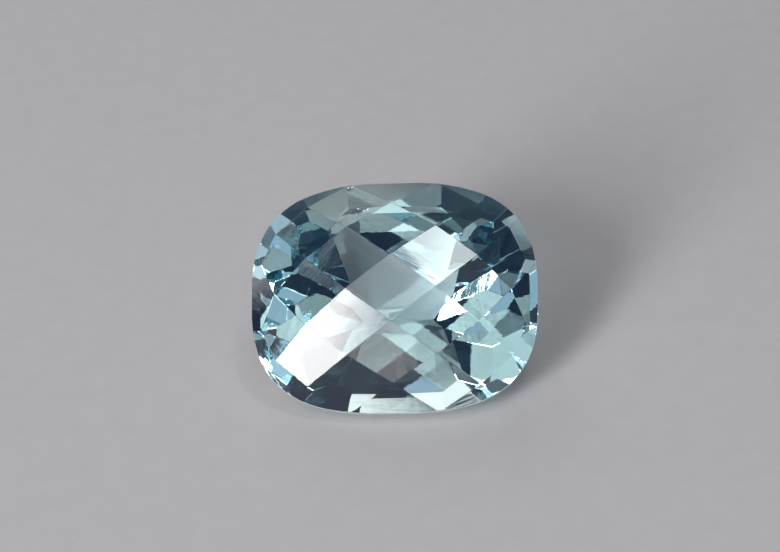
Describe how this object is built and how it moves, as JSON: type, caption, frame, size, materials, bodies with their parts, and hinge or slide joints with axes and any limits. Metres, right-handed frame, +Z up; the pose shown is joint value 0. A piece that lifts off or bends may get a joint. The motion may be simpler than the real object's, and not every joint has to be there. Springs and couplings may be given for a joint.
{
  "type": "cushion-cut gemstone",
  "caption": "Loose cushion-cut clear blue gemstone with a checkerboard crown and a faceted pavilion, lying tipped on its pavilion.",
  "frame": {"origin": "middle of the stone's footprint on the surface that it lies on, at the centre of its box from above", "axes": "+Z up; +X along the stone's length; the crown leans towards -Y, so that the checkerboard is seen from the front"},
  "size_m": [0.012, 0.0078, 0.007],
  "materials": {
    "topaz": "polished flat facets, clear pale blue, finely ground girdle"
  },
  "bodies": {
    "root": {"gemstone": "topaz"}
  },
  "joints": []
}
